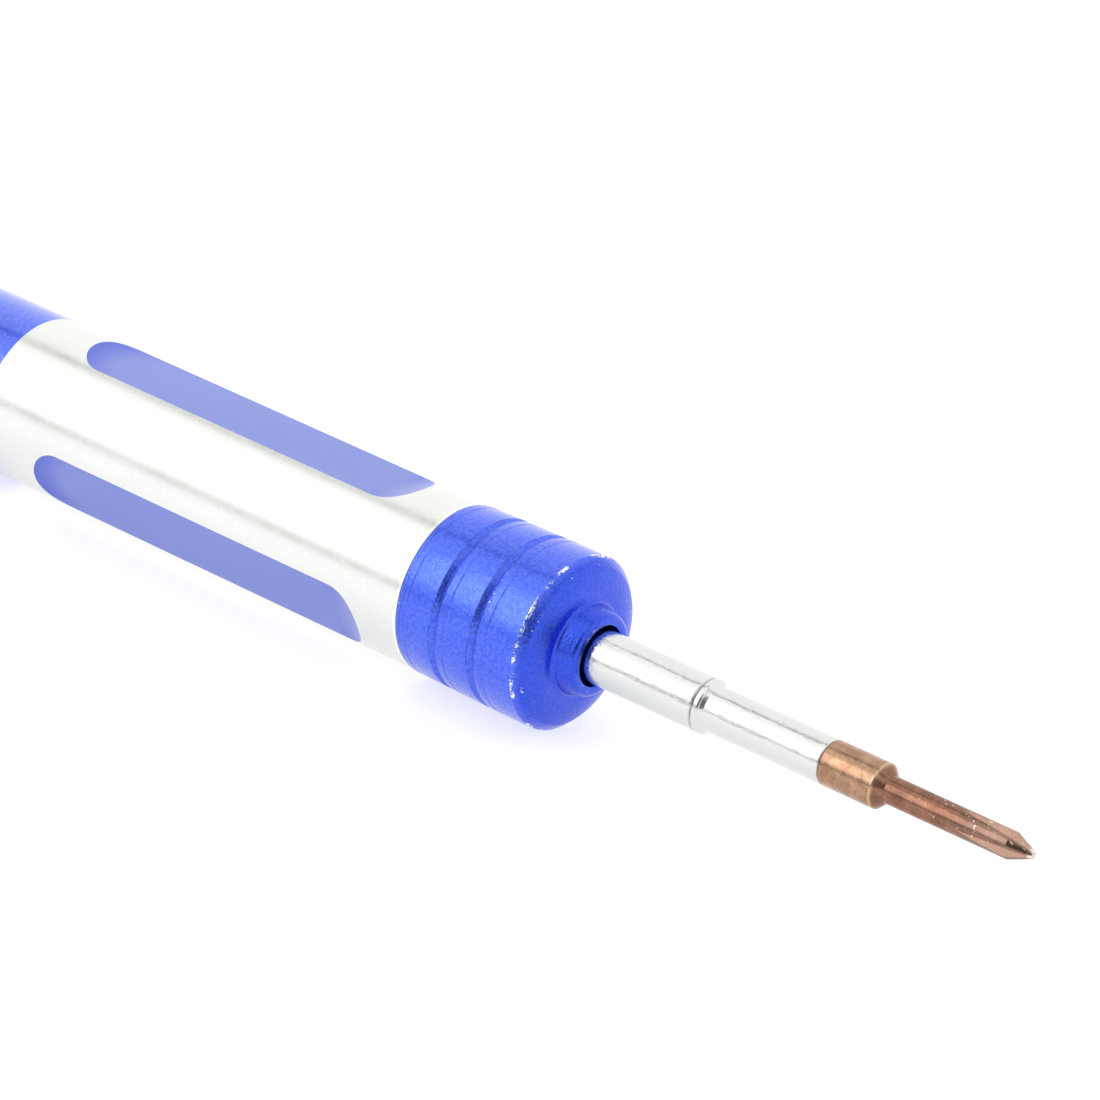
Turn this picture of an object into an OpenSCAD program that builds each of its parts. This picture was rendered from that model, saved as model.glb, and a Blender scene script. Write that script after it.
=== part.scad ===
// Precision screwdriver with a one-piece aluminium handle, a screwed-on nose ferrule,
// a magnet-held blade with a fine cross tip, and a swivel cap on a miniature ball bearing.
// The tool lies along X with its tip towards +X. Each piece is drawn about its own axis,
// standing on the cap end, and tool_axis() then lays it down.

/* [Blade] */
// Length of blade in front of the nose
blade_out = 27.7; // [24:0.1:40]
// Diameter of the blade where it leaves the nose
shaft_d = 3; // [2.8:0.05:3.2]
// Length of that thicker stretch in front of the nose
shaft_out = 6.9; // [4:0.1:9]
// Diameter of the blade in front of its shoulder
neck_d = 2.5; // [2.2:0.05:2.7]
// Length of the thinner stretch, shoulder included
neck_l = 8.2; // [6:0.1:12]
// Length of the bit's collar with its cone
collar_l = 3.8; // [3:0.1:5]
// Diameter of the bit's working shank
bit_d = 1.5; // [1.2:0.1:2]
// Length of the cross tip's cone
tip_l = 1.3; // [1:0.1:2]
// Length of the flutes ground in the tip
flute_l = 4.4; // [3:0.1:5]
// Turn of the cross tip about the blade's axis
tip_turn = 9; // [0:1:89]
// Width across the flats of the hexagonal tang
tang_af = 2.5; // [2.3:0.05:2.55]
// Length of the tang inside the socket
tang_l = 18.2; // [12:0.1:24]

/* [Nose] */
// Largest diameter of the nose ferrule
nose_d = 9.8; // [9.7:0.1:11]
// Diameter of the ferrule where it meets the grip
nose_rear_d = 9.58; // [9.5:0.01:9.6]
// Length of the ferrule from the grip to its front edge
nose_l = 8.1; // [7.8:0.1:10]
// How far the boss stands in front of that edge
boss_out = 2; // [1.8:0.1:2.2]
// Diameter of the hole that the blade passes through
nose_bore_d = 3.4; // [3.3:0.05:3.6]
// Depth of the two turned grooves
groove_depth = 0.24; // [0.1:0.02:0.3]

/* [Handle] */
// Diameter of the anodised rear of the handle
barrel_d = 9.54; // [9.5:0.01:9.6]
// Length of the anodised rear of the handle
rear_l = 39.9; // [30:0.1:60]
// Diameter of the bright turned grip
grip_d = 9.5; // [9.4:0.01:9.5]
// Length of the bright turned grip
grip_l = 30.6; // [28:0.1:40]
// Number of flats milled in the grip
flat_count = 3; // [2:1:4]
// Depth of each flat
flat_depth = 0.49; // [0.2:0.01:0.5]
// Distance from the grip's front end to the flats
flat_front = 2.8; // [2:0.1:5]
// Length of each flat at the surface
flat_l = 24.1; // [15:0.1:24.5]
// Radius of the milling cutter that leaves the flats' ends
cutter_r = 4; // [1.5:0.1:5]

/* [Swivel cap] */
// Length of the cap
cap_l = 11.4; // [11.4:0.1:14]
// Largest diameter of the cap
cap_d = 9.8; // [9.6:0.1:10]
// Gap between the cap and the handle
cap_gap = 0.3; // [0.2:0.05:0.5]
// Diameter of the finger disc in the cap's end
disc_d = 6.6; // [6:0.1:7]

/* [Ball bearing] */
// Number of balls
ball_count = 7; // [6:1:8]

/* [Hidden] */
$fn = 96;

// Bearing of the standard size 3 x 6 x 2.5, and its balls
bearing_bore = 3;
bearing_od = 6;
bearing_w = 2.5;
ball_d = 0.8;

// Clearances, in radius
fit_gap = 0.02;
slide_gap = 0.03;
eps = 0.01;

// Stations along the tool's axis, from the cap's end
barrel_z = cap_l + cap_gap;
grip_z = barrel_z + rear_l;
nose_z = grip_z + grip_l;
edge_z = nose_z + nose_l;
mouth_z = edge_z + boss_out;
shoulder_z = mouth_z + shaft_out;
bit_z = shoulder_z + neck_l;
tip_z = mouth_z + blade_out;
total_l = tip_z;
axis_h = max(nose_d, cap_d) / 2;

// Front end of the handle: the threaded spigot and what sits in it
spigot_r = 4;
spigot_l = 6;
spigot_z = nose_z + spigot_l;
socket_r = 2.6;
socket_l = 22;
socket_z = spigot_z - socket_l;
magnet_r = 1.5;
magnet_l = 3;
magnet_z = spigot_z - tang_l - magnet_l;
o_ring_r = 0.38;
o_ring_z = nose_z + 0.9;
o_ring_groove = 1;
o_ring_mid_r = spigot_r - o_ring_r - fit_gap;
grub_r = 1;
grub_z = spigot_z - 2.6;
grub_l = 1.2;

// Rear end of the handle: the plug and the cap's pivot
plug_r = 3.4;
plug_l = 9;
post_r = 1.9;
post_l = 1.1;
seat_r = bearing_bore / 2;
bearing_z = barrel_z - post_l - bearing_w;
bearing_mid = bearing_z + bearing_w / 2;
screw_r = 0.8;
screw_l = 4;
head_r = 1.6;
head_l = 1;
washer_r = 1.95;
washer_t = 0.3;
washer_z = bearing_z - washer_t;
circlip_t = 0.4;
circlip_z = bearing_z + bearing_w + 0.05;
circlip_depth = 0.35;

// Turned details that several pieces share
groove_half_w = 0.24;
end_bevel = 0.1;

// Thickness of the disc in the cap's end
disc_t = 1.2;

// Inside of the bearing
race_mid_r = (bearing_bore + bearing_od) / 4;
ball_r = ball_d / 2;
race_r = ball_r + fit_gap;
inner_ring_r = 1.95;
outer_ring_r = 2.55;
shield_t = 0.12;
shield_in = 0.08;
shield_seat_r = 2.7;
shield_hole_r = 2.02;

// Length over which a cutter of this radius runs out of a flat
run_out = sqrt(2 * cutter_r * flat_depth);

// Points of an arc about (r, z) from angle a0 to a1, as [radius, height] pairs
function arc(r, z, rad, a0, a1, steps) = [
    for (i = [0:steps])
        let (a = a0 + (a1 - a0) * i / steps)
            [r + rad * cos(a), z + rad * sin(a)]
];

// A V-groove in a turned outline: its two lips and its root
function v_groove(z, r, depth, half_w) =
    [[r, z - half_w], [r - depth, z], [r, z + half_w]];

// Lays a piece drawn along Z down along X, tip forward, centred over the origin
module tool_axis() {
    translate([-total_l / 2, 0, axis_h]) rotate([0, 90, 0]) children();
}

// A tube between two heights
module tube(r_out, r_in, z, h) {
    translate([0, 0, z]) difference() {
        cylinder(r = r_out, h = h);
        translate([0, 0, -1]) cylinder(r = r_in, h = h + 2);
    }
}

// The bevelled start of a round bar, at height z
module bevelled_end(r, z, bevel) {
    translate([0, 0, z]) cylinder(r1 = r - bevel, r2 = r, h = bevel);
}

// ---------------------------------------------------------------- handle

// What one pass of the milling cutter takes off the grip, above +X
module flat_cut() {
    floor_r = grip_d / 2 - flat_depth;
    front = nose_z - flat_front - run_out;
    rear = nose_z - flat_front - flat_l + run_out;
    width = 2 * nose_d;
    translate([floor_r, -width / 2, rear]) cube([cutter_r, width, front - rear]);
    for (z = [rear, front])
        translate([floor_r + cutter_r, 0, z]) rotate([90, 0, 0])
            cylinder(r = cutter_r, h = width, center = true);
}

// Solid bar, drilled from both ends, with the threaded spigot in front
module handle_barrel() {
    rear_bevel = 0.2;
    lead_in = 0.3;
    o_ring_floor_r = spigot_r - 2 * (o_ring_r + fit_gap);
    color([0.13, 0.22, 0.75]) tool_axis() difference() {
        union() {
            bevelled_end(barrel_d / 2, barrel_z, rear_bevel);
            translate([0, 0, barrel_z + rear_bevel]) cylinder(d = barrel_d, h = rear_l - rear_bevel);
            translate([0, 0, grip_z]) cylinder(d = grip_d, h = grip_l);
            translate([0, 0, nose_z]) cylinder(r = spigot_r, h = spigot_l - lead_in);
            translate([0, 0, spigot_z]) mirror([0, 0, 1]) bevelled_end(spigot_r, 0, lead_in);
        }
        for (i = [0:flat_count - 1])
            rotate([0, 0, 180 + i * 360 / flat_count]) flat_cut();
        translate([0, 0, socket_z - fit_gap]) cylinder(r = socket_r + fit_gap, h = socket_l + 1);
        translate([0, 0, barrel_z - 1]) cylinder(r = plug_r + fit_gap, h = plug_l + 1 + fit_gap);
        tube(spigot_r + 1, o_ring_floor_r, o_ring_z - o_ring_groove / 2, o_ring_groove);
        translate([0, 0, grub_z]) rotate([90, 0, 0])
            cylinder(r = grub_r + fit_gap, h = 4 * spigot_r, center = true);
    }
}

// Turned ferrule: three bands with V-grooves between them, a chamfered front edge,
// a gently domed face and a small boss round the blade's hole
module nose_ferrule() {
    r = nose_d / 2;
    rear_r = nose_rear_d / 2;
    bore_r = nose_bore_d / 2;
    band = nose_l / 3;
    groove_1 = band - 0.1;
    groove_2 = 2 * band - 0.13;
    rear_bevel = 0.08;
    mouth_bevel = 0.06;
    cavity_r = spigot_r + fit_gap;
    cavity_l = spigot_l + 0.2;
    chamfer = 0.45;
    dome_r = 2.8;
    dome_h = 0.8;
    dome_run = r - chamfer - dome_r;
    dome_rise = dome_h - chamfer;
    dome_arc = (dome_run * dome_run + dome_rise * dome_rise) / (2 * dome_rise);
    dome_start = acos(dome_run / dome_arc);
    cove_r = 0.3;
    boss_r = 2;
    corner_r = 0.35;
    outline = concat(
        [[bore_r, cavity_l], [cavity_r, cavity_l], [cavity_r, 0]],
        [[rear_r - rear_bevel, 0], [rear_r, rear_bevel]],
        v_groove(groove_1, rear_r + 0.05, groove_depth, groove_half_w),
        v_groove(groove_2, r - 0.02, groove_depth, groove_half_w),
        [[r, groove_2 + 0.43], [r, nose_l]],
        arc(dome_r, nose_l + dome_h - dome_arc, dome_arc, dome_start, 90, 8),
        arc(dome_r, nose_l + dome_h + cove_r, cove_r, -105, -150, 3),
        arc(boss_r, nose_l + boss_out - corner_r, corner_r, 15, 90, 6),
        [[bore_r + mouth_bevel, nose_l + boss_out], [bore_r, nose_l + boss_out - mouth_bevel]]
    );
    color([0.10, 0.20, 0.85]) tool_axis() translate([0, 0, nose_z]) rotate_extrude() polygon(outline);
}

// Rubber ring that keeps the ferrule from working loose
module nose_o_ring() {
    color([0.05, 0.05, 0.05]) tool_axis() translate([0, 0, o_ring_z]) rotate_extrude()
        translate([o_ring_mid_r, 0]) circle(r = o_ring_r, $fn = 32);
}

// ---------------------------------------------------------------- blade holder

// Steel insert with the hexagonal hole that turns the blade
module hex_socket() {
    hex_r = (tang_af / 2 + slide_gap) / cos(30);
    hex_z = magnet_z + magnet_l;
    mouth = 0.2;
    color([0.45, 0.46, 0.48]) tool_axis() difference() {
        translate([0, 0, socket_z]) cylinder(r = socket_r, h = socket_l);
        translate([0, 0, hex_z - eps]) cylinder(r = hex_r, h = tang_l + 1, $fn = 6);
        translate([0, 0, socket_z - 1]) cylinder(r = magnet_r + fit_gap, h = hex_z - socket_z + 1);
        translate([0, 0, spigot_z - mouth]) cylinder(r1 = hex_r, r2 = hex_r + mouth + eps, h = mouth + eps);
    }
}

// Two grub screws that lock the socket in the spigot, under the ferrule
module socket_grub_screws() {
    key_af = 0.9;
    key_depth = 0.7;
    color([0.12, 0.12, 0.13]) tool_axis() translate([0, 0, grub_z])
        for (side = [0, 180])
            rotate([90, 0, side]) translate([0, 0, socket_r + fit_gap]) difference() {
                cylinder(r = grub_r, h = grub_l);
                translate([0, 0, grub_l - key_depth])
                    cylinder(r = key_af / 2 / cos(30), h = key_depth + 1, $fn = 6);
            }
}

// Round magnet at the bottom of the socket, which holds the blade in
module socket_magnet() {
    color([0.75, 0.76, 0.78]) tool_axis() translate([0, 0, magnet_z]) cylinder(r = magnet_r, h = magnet_l);
}

// ---------------------------------------------------------------- blade

// Plated steel shaft: hexagonal tang, guide, shoulder with a scribed groove, and thinner neck
module blade_shaft() {
    r = shaft_d / 2;
    neck_r = neck_d / 2;
    tang_z = magnet_z + magnet_l + fit_gap;
    tang_r = tang_af / 2 / cos(30);
    tang_bevel = 0.15;
    guide_z = spigot_z + 0.1;
    guide_bevel = 0.15;
    step_z = shoulder_z + 0.4;
    step_r = 0.25;
    neck_start = 0.8;
    neck_bevel = 0.06;
    pocket_l = 3;
    outline = concat(
        [[0, guide_z], [r - guide_bevel, guide_z], [r, guide_z + guide_bevel]],
        v_groove(shoulder_z + 0.15, r, 0.12, 0.1),
        [[r, step_z]],
        arc(r - step_r, step_z, step_r, 0, 55, 4),
        [[neck_r, shoulder_z + neck_start], [neck_r, bit_z - neck_bevel]],
        [[neck_r - neck_bevel, bit_z], [0, bit_z]]
    );
    color([0.86, 0.87, 0.88]) tool_axis() difference() {
        union() {
            translate([0, 0, tang_z]) intersection() {
                cylinder(r = tang_r, h = guide_z - tang_z + end_bevel, $fn = 6);
                cylinder(r1 = tang_af / 2 - tang_bevel, r2 = tang_af + tang_l, h = tang_l + tang_af);
            }
            rotate_extrude() polygon(outline);
        }
        translate([0, 0, bit_z - pocket_l]) cylinder(r = bit_d / 2 + fit_gap, h = pocket_l + 1);
    }
}

// What one pass of the grinding wheel takes out of the tip: a right-angled trough
// that starts beside the axis at the point and runs out at the surface
module flute_cut() {
    root_r = 0.16;
    rise = (bit_d / 2 - root_r) / flute_l;
    size = bit_d;
    translate([root_r, 0, tip_z]) rotate([0, atan(-rise), 0]) rotate([0, 0, -45])
        translate([0, 0, -flute_l - 1]) cube([size, size, flute_l + 2]);
}

// Copper-coated bit: spigot in the shaft, collar, cone, slim shank and cross tip
module phillips_bit() {
    spigot_start = bit_z - 2.9;
    collar_r = neck_d / 2;
    r = bit_d / 2;
    cone_l = collar_r - r;
    rim_bevel = 0.05;
    collar_start = bit_z + fit_gap;
    collar_end = bit_z + collar_l;
    end_r = 0.2;
    outline = [
        [0, spigot_start],
        [r - end_bevel, spigot_start],
        [r, spigot_start + end_bevel],
        [r, collar_start],
        [collar_r - rim_bevel, collar_start],
        [collar_r, collar_start + rim_bevel],
        [collar_r, collar_end - cone_l],
        [r, collar_end],
        [r, tip_z - tip_l],
        [end_r, tip_z],
        [0, tip_z]
    ];
    color([0.62, 0.36, 0.24]) tool_axis() difference() {
        rotate_extrude() polygon(outline);
        for (i = [0:3])
            rotate([0, 0, tip_turn + 90 * i]) flute_cut();
    }
}

// ---------------------------------------------------------------- cap pivot

// Steel plug screwed into the handle's rear, with the shouldered post for the bearing
module pivot_plug() {
    seat_end = bearing_z + 0.1;
    key_hole_mid = 2.65;
    key_hole_r = 0.4;
    key_hole_l = 1.2;
    color([0.55, 0.56, 0.58]) tool_axis() difference() {
        union() {
            translate([0, 0, barrel_z]) cylinder(r = plug_r, h = plug_l);
            translate([0, 0, barrel_z - post_l]) cylinder(r = post_r, h = post_l + eps);
            translate([0, 0, seat_end]) cylinder(r = seat_r - fit_gap / 2, h = bearing_w);
        }
        translate([0, 0, seat_end - 1]) cylinder(r = screw_r + fit_gap, h = screw_l + 2);
        for (side = [-1, 1])
            translate([side * key_hole_mid, 0, barrel_z - eps]) cylinder(r = key_hole_r, h = key_hole_l);
    }
}

module bearing_inner_ring() {
    color([0.80, 0.81, 0.83]) tool_axis() translate([0, 0, bearing_z]) rotate_extrude() difference() {
        translate([seat_r, 0]) square([inner_ring_r - seat_r, bearing_w]);
        translate([race_mid_r, bearing_w / 2]) circle(r = race_r);
    }
}

// Outer ring, with a seat for a shield at each face
module bearing_outer_ring() {
    seat_l = shield_in + shield_t + fit_gap;
    color([0.78, 0.79, 0.81]) tool_axis() translate([0, 0, bearing_z]) rotate_extrude() difference() {
        translate([outer_ring_r, 0]) square([bearing_od / 2 - outer_ring_r, bearing_w]);
        translate([race_mid_r, bearing_w / 2]) circle(r = race_r);
        for (z = [seat_l - 1, bearing_w - seat_l])
            translate([shield_seat_r - 1, z]) square(1);
    }
}

// Ring with a round pocket for each ball
module ball_cage() {
    half_w = 0.56;
    half_t = 0.17;
    color([0.72, 0.55, 0.25]) tool_axis() difference() {
        tube(race_mid_r + half_t, race_mid_r - half_t, bearing_mid - half_w, 2 * half_w);
        for (i = [0:ball_count - 1])
            rotate([0, 0, i * 360 / ball_count]) translate([inner_ring_r, 0, bearing_mid])
                rotate([0, 90, 0]) cylinder(r = race_r, h = 1);
    }
}

module bearing_balls() {
    color([0.85, 0.86, 0.88]) tool_axis()
        for (i = [0:ball_count - 1])
            rotate([0, 0, i * 360 / ball_count]) translate([race_mid_r, 0, bearing_mid])
                sphere(r = ball_r);
}

module shield(z) {
    tube(shield_seat_r - fit_gap, shield_hole_r, z, shield_t);
}

module bearing_shield_front() {
    color([0.70, 0.71, 0.73]) tool_axis() shield(bearing_z + bearing_w - shield_in - shield_t);
}

module bearing_shield_rear() {
    color([0.70, 0.71, 0.73]) tool_axis() shield(bearing_z + shield_in);
}

// Sprung ring with an open gap and two eyes, which holds the bearing in the cap
module bearing_circlip() {
    r_out = bearing_od / 2 + circlip_depth - fit_gap;
    r_in = r_out - 0.55;
    gap_w = 1;
    eye_r = 0.42;
    eye_hole_r = 0.2;
    eye_mid = 2.72;
    eye_turn = 20;
    color([0.25, 0.26, 0.28]) tool_axis() translate([0, 0, circlip_z]) difference() {
        union() {
            difference() {
                tube(r_out, r_in, 0, circlip_t);
                translate([0, -gap_w / 2, -1]) cube([bearing_od, gap_w, 2 + circlip_t]);
            }
            for (turn = [-eye_turn, eye_turn])
                rotate([0, 0, turn]) translate([eye_mid, 0, 0]) cylinder(r = eye_r, h = circlip_t);
        }
        for (turn = [-eye_turn, eye_turn])
            rotate([0, 0, turn]) translate([eye_mid, 0, -1])
                cylinder(r = eye_hole_r, h = 2 + circlip_t);
    }
}

module screw_washer() {
    color([0.80, 0.81, 0.83]) tool_axis() tube(washer_r, screw_r + 0.05, washer_z, washer_t);
}

// Small cross-recessed screw that clamps the inner ring on the post
module pivot_screw() {
    under_head = washer_z - fit_gap;
    head_z = under_head - head_l;
    head_bevel = 0.3;
    cross_w = 1.7;
    cross_t = 0.35;
    cross_depth = 0.45;
    color([0.60, 0.61, 0.63]) tool_axis() difference() {
        union() {
            translate([0, 0, under_head]) cylinder(r = screw_r, h = screw_l);
            bevelled_end(head_r, head_z, head_bevel);
            translate([0, 0, head_z + head_bevel]) cylinder(r = head_r, h = head_l - head_bevel);
        }
        for (turn = [0, 90])
            translate([0, 0, head_z]) rotate([0, 0, turn])
                cube([cross_w, cross_t, 2 * cross_depth], center = true);
    }
}

// ---------------------------------------------------------------- cap

// Cap that turns under a fingertip while the handle is twisted
module swivel_cap() {
    r = cap_d / 2;
    corner_r = 0.9;
    groove_1 = 3.3;
    groove_2 = 6;
    hole_r = 2.5;
    seat_r_out = bearing_od / 2 + fit_gap;
    slot_r = bearing_od / 2 + circlip_depth;
    slot_front = circlip_z + circlip_t + fit_gap;
    slot_rear = circlip_z - fit_gap;
    recess_r = disc_d / 2 + fit_gap;
    recess_z = disc_t + fit_gap;
    outline = concat(
        [[recess_r, 0]],
        arc(r - corner_r, corner_r, corner_r, -90, 0, 6),
        v_groove(groove_1, r, groove_depth, groove_half_w),
        v_groove(groove_2, r - 0.03, groove_depth, groove_half_w),
        [[barrel_d / 2, cap_l - end_bevel], [barrel_d / 2 - end_bevel, cap_l]],
        [[seat_r_out, cap_l], [seat_r_out, slot_front], [slot_r, slot_front]],
        [[slot_r, slot_rear], [seat_r_out, slot_rear], [seat_r_out, bearing_z]],
        [[hole_r, bearing_z], [hole_r, recess_z], [recess_r, recess_z]]
    );
    color([0.10, 0.20, 0.85]) tool_axis() rotate_extrude() polygon(outline);
}

// Bright disc pressed into the cap's end, where the fingertip rests
module cap_end_disc() {
    color([0.85, 0.86, 0.87]) tool_axis() {
        bevelled_end(disc_d / 2, 0, end_bevel);
        translate([0, 0, end_bevel]) cylinder(d = disc_d, h = disc_t - end_bevel);
    }
}

handle_barrel();
nose_ferrule();
nose_o_ring();
hex_socket();
socket_grub_screws();
socket_magnet();
blade_shaft();
phillips_bit();
pivot_plug();
bearing_inner_ring();
bearing_outer_ring();
ball_cage();
bearing_balls();
bearing_shield_front();
bearing_shield_rear();
bearing_circlip();
screw_washer();
pivot_screw();
swivel_cap();
cap_end_disc();
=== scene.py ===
# %% [markdown]
# # A precision screwdriver with a turned handle
# The tool lies on a table with its tip towards +X. It is 120 mm long and under 10 mm thick. This
# lesson loads the measured model as a frame, turns and mills the outer pieces as fine meshes over
# it, gives every piece a finish of its own, and sets up a floor, a light tent and a camera.

# %% Load the frame and keep its size
import bpy
import bmesh
import math
from mathutils import Matrix, Vector


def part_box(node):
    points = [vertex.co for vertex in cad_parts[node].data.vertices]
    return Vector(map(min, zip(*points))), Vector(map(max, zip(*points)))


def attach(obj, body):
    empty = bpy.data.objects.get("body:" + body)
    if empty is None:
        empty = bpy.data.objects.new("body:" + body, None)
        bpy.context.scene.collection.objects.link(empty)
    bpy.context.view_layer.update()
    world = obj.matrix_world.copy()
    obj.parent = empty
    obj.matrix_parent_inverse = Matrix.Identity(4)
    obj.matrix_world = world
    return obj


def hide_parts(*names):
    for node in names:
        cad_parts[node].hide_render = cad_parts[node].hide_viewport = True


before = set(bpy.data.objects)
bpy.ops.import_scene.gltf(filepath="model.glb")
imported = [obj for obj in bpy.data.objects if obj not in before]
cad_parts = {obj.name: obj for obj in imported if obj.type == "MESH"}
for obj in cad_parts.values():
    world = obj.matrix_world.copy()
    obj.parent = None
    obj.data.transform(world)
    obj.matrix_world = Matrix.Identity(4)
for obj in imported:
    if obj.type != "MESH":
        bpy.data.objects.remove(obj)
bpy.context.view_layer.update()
MM = 0.001
MID = 60.0      # the middle of the tool's length, counted from the cap's end
AXIS = 4.9      # height of the tool's axis above the table

# %% [markdown]
# ## The main sizes
# A turned piece is described the way its drawing would be: by stations along the axis, counted in
# millimetres from the cap's end, and by radii. Those that several pieces or finishes share are
# named here. What belongs to one piece alone stands beside that piece.

# %% Shared stations and radii, in mm
BARREL, GRIP, NOSE = 11.7, 51.6, 82.2       # where the bar, its bright grip and the nose begin
FLAT_START, FLAT_END = 57.28, 77.42         # the ends of a flat's level stretch
EDGE, MOUTH = 90.3, 92.3                    # the nose's front edge, and the mouth of its hole
SHAFT_LINE = 99.35                          # the scribed line on the shaft
COLLAR_END, TIP = 110.7, 120.0              # the front of the bit's collar, and the bit's point
REAR_R, GRIP_R, FLAT_R, BAND_R = 4.77, 4.75, 4.26, 4.9
SHAFT_R, NECK_R, BIT_R = 1.5, 1.25, 0.75
print("bright grip:", round(NOSE - GRIP, 2), "mm long,", 2 * GRIP_R, "mm across")

# %% [markdown]
# ## Drawing node trees in code
# Geometry Nodes and materials are both trees of small boxes joined by wires. Written one box at a
# time they are hard to read, so a small class does the work: a Wire is one value on its way through
# the tree, and ordinary + - * / on wires puts Math boxes in. One method makes any other box.

# %% The wires of a tree, and the sheet that it is drawn on
def box_for(operation, swapped=False):
    """A method that puts in a Math box for this wire and another value, swapped round if asked."""
    def put(self, other):
        return self.sheet.math(operation, *((other, self) if swapped else (self, other)))
    return put


class Wire:
    """One value travelling along a wire of a node tree."""

    def __init__(self, sheet, socket):
        self.sheet, self.socket = sheet, socket

    __add__, __radd__ = box_for("ADD"), box_for("ADD", swapped=True)
    __sub__, __rsub__ = box_for("SUBTRACT"), box_for("SUBTRACT", swapped=True)
    __mul__, __rmul__ = box_for("MULTIPLY"), box_for("MULTIPLY", swapped=True)
    __truediv__, __rtruediv__ = box_for("DIVIDE"), box_for("DIVIDE", swapped=True)
    __gt__ = box_for("GREATER_THAN")

    def math(self, operation, *others):
        return self.sheet.math(operation, self, *others)

    def __neg__(self):
        return self.math("MULTIPLY", -1.0)

    def __abs__(self):
        return self.math("ABSOLUTE")

    def clamp(self):
        return self.math("MAXIMUM", 0.0).math("MINIMUM", 1.0)


class Sheet:
    """A node tree that is being drawn, with its boxes laid out in rows of ten."""

    def __init__(self, tree):
        self.tree = tree

    def plug(self, value, socket):
        """Joins a wire to the socket, or sets the socket's own value."""
        if isinstance(value, Wire):
            self.tree.links.new(value.socket, socket)
        else:
            socket.default_value = value

    def node(self, kind, settings=None, sockets=None, out=0):
        """Puts in a box, its settings first and then its sockets, and gives one output's wire."""
        box = self.tree.nodes.new(kind)
        row, column = divmod(len(self.tree.nodes) - 1, 10)
        box.location = (220 * column, -320 * row)
        for key, value in (settings or {}).items():
            setattr(box, key, value)
        for key, value in (sockets or {}).items():
            self.plug(value, box.inputs[key])
        return Wire(self, box.outputs[out]) if len(box.outputs) else None

    def math(self, operation, *values):
        return self.node("ShaderNodeMath", {"operation": operation}, dict(enumerate(values)))

    def vector(self, operation, *values, out=0):
        return self.node(
            "ShaderNodeVectorMath", {"operation": operation}, dict(enumerate(values)), out)

    def join(self, x, y, z):
        return self.node("ShaderNodeCombineXYZ", None, {0: x, 1: y, 2: z})

    def split(self, vector):
        box = self.node("ShaderNodeSeparateXYZ", None, {0: vector}).socket.node
        return [Wire(self, s) for s in box.outputs]


# %% [markdown]
# ## Turning a piece on a lathe
# Nearly every piece of this tool was turned: one outline, spun round the axis. Blender could do it
# with the Spin tool or the Screw modifier, but a Geometry Nodes tree keeps the rule in one place.
# The outline comes in as a chain of points, a grid is laid over turn by outline point, and each
# grid point is moved to its outline point, turned. Merging closes the seam and the poles. Edges
# sharper than a limit stay crisp. The tree works in millimetres, because the tools that cut meshes
# are more exact with numbers near one, and each finished mesh is scaled to metres.

# %% The lathe, as a tree with named inputs
SHARP = math.radians(24.0)    # an edge that turns more than this stays crisp
MERGE = 0.0002                # points closer than this, in mm, become one


def new_tree(name, inputs):
    """A new tree with its named inputs: the sheet to draw it on, and a wire from each input."""
    tree = bpy.data.node_groups.new(name, "GeometryNodeTree")
    for label, kind, value in inputs:
        socket = tree.interface.new_socket(label, in_out="INPUT", socket_type=kind)
        if value is not None:
            socket.default_value = value
    tree.interface.new_socket("Geometry", in_out="OUTPUT", socket_type="NodeSocketGeometry")
    sheet = Sheet(tree)
    box = tree.nodes.new("NodeGroupInput")
    return sheet, {socket.name: Wire(sheet, socket) for socket in box.outputs if socket.name}


def crisp(sheet, shape, limit):
    """Smooth shading, with the edges that turn more than the limit kept sharp."""
    smooth = sheet.node("GeometryNodeSetShadeSmooth", {"domain": "FACE"}, {"Geometry": shape})
    angle = sheet.node("GeometryNodeInputMeshEdgeAngle")
    return sheet.node(
        "GeometryNodeSetShadeSmooth", {"domain": "EDGE"},
        {"Geometry": smooth, "Selection": angle > limit, "Shade Smooth": False})


def finish_tree(sheet, shape, material=None):
    """Ends a tree: real meshes instead of instances, and a material where one is given."""
    shape = sheet.node("GeometryNodeRealizeInstances", None, {"Geometry": shape})
    if material is not None:
        shape = sheet.node("GeometryNodeSetMaterial", None, {"Geometry": shape, "Material": material})
    sheet.node("NodeGroupOutput", None, {"Geometry": shape})
    return sheet.tree


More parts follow.
